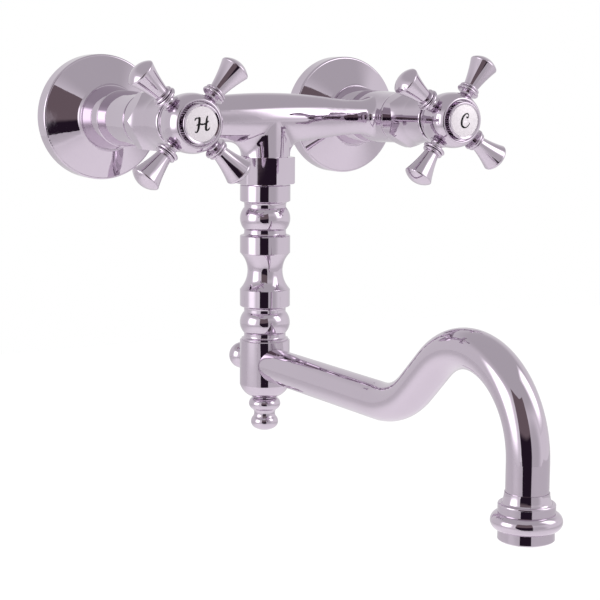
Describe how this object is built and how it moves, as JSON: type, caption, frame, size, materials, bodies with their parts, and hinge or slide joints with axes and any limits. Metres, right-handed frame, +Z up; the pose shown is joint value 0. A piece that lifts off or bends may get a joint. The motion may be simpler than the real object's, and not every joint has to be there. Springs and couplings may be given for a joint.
{
  "type": "basin mixer tap",
  "caption": "Wall-hung basin mixer tap with cross handles, bell escutcheons, a turned baluster column and a long swivelling S-shaped spout, in polished chrome.",
  "frame": {"origin": "on the wall plane, midway between the two wall inlets and on their axes' level", "axes": "+Z up, +Y into the wall (the user stands on the -Y side), +X to the user's right, so hot is at -X"},
  "size_m": [0.2162, 0.3137, 0.2037],
  "materials": {
    "polished_chrome": "polished chrome plate on brass",
    "raw_brass": "machined brass",
    "spring_steel": "plain stainless steel",
    "white_ceramic": "lapped alumina",
    "white_enamel": "white glaze",
    "black_rubber": "black nitrile rubber",
    "pale_plastic": "moulded acetal"
  },
  "bodies": {
    "mixer": {"mixer_body": "polished_chrome", "spout_nut": "polished_chrome", "spout_glide_ring": "pale_plastic", "hot_escutcheon": "polished_chrome", "hot_union_nut": "polished_chrome", "hot_bonnet": "polished_chrome", "hot_union": "raw_brass", "hot_headwork": "raw_brass", "hot_inlet_washer": "black_rubber", "hot_seat_seal": "black_rubber", "hot_fixed_disc": "white_ceramic", "cold_escutcheon": "polished_chrome", "cold_union_nut": "polished_chrome", "cold_bonnet": "polished_chrome", "cold_union": "raw_brass", "cold_headwork": "raw_brass", "cold_inlet_washer": "black_rubber", "cold_seat_seal": "black_rubber", "cold_fixed_disc": "white_ceramic"},
    "hot_handle": {"hot_spindle": "raw_brass", "hot_spindle_seal": "black_rubber", "hot_moving_disc": "white_ceramic", "hot_circlip": "spring_steel", "hot_handle_hub": "polished_chrome", "hot_handle_arms": "polished_chrome", "hot_handle_screw": "spring_steel", "hot_index_bezel": "polished_chrome", "hot_index_disc": "white_enamel"},
    "cold_handle": {"cold_spindle": "raw_brass", "cold_spindle_seal": "black_rubber", "cold_moving_disc": "white_ceramic", "cold_circlip": "spring_steel", "cold_handle_hub": "polished_chrome", "cold_handle_arms": "polished_chrome", "cold_handle_screw": "spring_steel", "cold_index_bezel": "polished_chrome", "cold_index_disc": "white_enamel"},
    "spout": {"spout_stem_seals": "black_rubber", "spout_clip_ring": "raw_brass", "spout_column": "polished_chrome", "spout_elbow": "polished_chrome", "spout_back_knob": "polished_chrome", "spout_finial": "polished_chrome", "spout_tube": "polished_chrome", "nozzle": "polished_chrome", "aerator_washer": "black_rubber", "aerator_cage": "pale_plastic", "aerator_mesh": "spring_steel"}
  },
  "joints": [
    {"name": "spout_swivel", "type": "hinge", "parent": "mixer", "child": "spout", "pos_m": [0, -0.051, -0.037], "axis": [0, 0, 1], "range_deg": [-90, 90]},
    {"name": "hot_handle_turn", "type": "hinge", "parent": "mixer", "child": "hot_handle", "pos_m": [-0.075, -0.08, -0.008], "axis": [0, -1, 0], "range_deg": [0, 90]},
    {"name": "cold_handle_turn", "type": "hinge", "parent": "mixer", "child": "cold_handle", "pos_m": [0.075, -0.08, -0.008], "axis": [0, -1, 0], "range_deg": [0, 90]}
  ]
}
